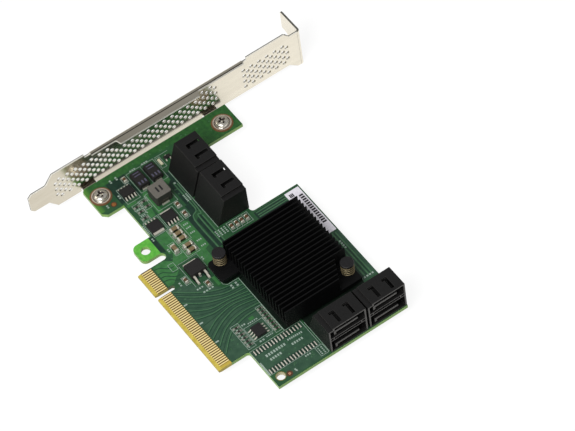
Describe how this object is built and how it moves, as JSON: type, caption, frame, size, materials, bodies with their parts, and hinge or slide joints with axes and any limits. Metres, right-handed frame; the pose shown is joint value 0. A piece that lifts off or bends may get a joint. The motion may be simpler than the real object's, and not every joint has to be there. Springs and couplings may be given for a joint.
{
  "type": "sata controller card",
  "caption": "Storage controller card: green board with gold edge connector, sprung heatsink, stacked data sockets and a folded, perforated slot bracket.",
  "frame": {"origin": "middle of the key slot at the tip of the edge connector, half way through the board", "axes": "+X from the bracket to the rear edge, +Y from the edge connector to the top edge, +Z out of the component side"},
  "size_m": [0.1305, 0.1217, 0.0217],
  "materials": {
    "green_board": "dark green resist over glass laminate, satin",
    "gold_plating": "thin gold plating",
    "bracket_steel": "bright plated sheet",
    "screw_steel": "plated steel",
    "black_aluminium": "black anodised, satin",
    "chip_plastic": "moulded, fine matte",
    "socket_plastic": "moulded, satin",
    "pin_plastic": "moulded nylon",
    "spring_brass": "drawn wire",
    "tinned_leads": "tin plated",
    "inductor_grey": "pressed powder, matte",
    "tan_ceramic": "fired ceramic, satin",
    "black_ceramic": "glazed top",
    "thermal_rubber": "soft pad",
    "clear_lamp": "milky, clear",
    "white_paper": "blank sticker"
  },
  "bodies": {
    "root": {"board": "green_board", "edge_contacts_front": "gold_plating", "edge_contacts_back": "gold_plating", "bracket": "bracket_steel", "bracket_screws": "screw_steel", "heatsink": "black_aluminium", "controller_chip": "chip_plastic", "thermal_pad": "thermal_rubber", "push_pin_left": "pin_plastic", "push_pin_right": "pin_plastic", "push_pin_spring_left": "spring_brass", "push_pin_spring_right": "spring_brass", "logic_chip": "chip_plastic", "logic_chip_leads": "tinned_leads", "flash_memory": "chip_plastic", "flash_memory_leads": "tinned_leads", "power_switch_low": "chip_plastic", "power_switch_low_leads": "tinned_leads", "power_switch_high": "chip_plastic", "power_switch_high_leads": "tinned_leads", "linear_regulator": "chip_plastic", "linear_regulator_tab": "tinned_leads", "linear_regulator_leads": "tinned_leads", "power_inductor": "inductor_grey", "power_inductor_terminals": "tinned_leads", "polymer_capacitor_1": "chip_plastic", "polymer_capacitor_2": "chip_plastic", "polymer_capacitor_terminals": "tinned_leads", "ceramic_capacitors": "tan_ceramic", "chip_capacitors": "tan_ceramic", "chip_resistors": "black_ceramic", "status_lamp": "clear_lamp", "blank_label": "white_paper", "rear_socket_1": "socket_plastic", "rear_socket_1_contacts": "gold_plating", "rear_socket_2": "socket_plastic", "rear_socket_2_contacts": "gold_plating", "front_socket_1": "socket_plastic", "front_socket_1_contacts": "gold_plating", "front_socket_2": "socket_plastic", "front_socket_2_contacts": "gold_plating"}
  },
  "joints": []
}
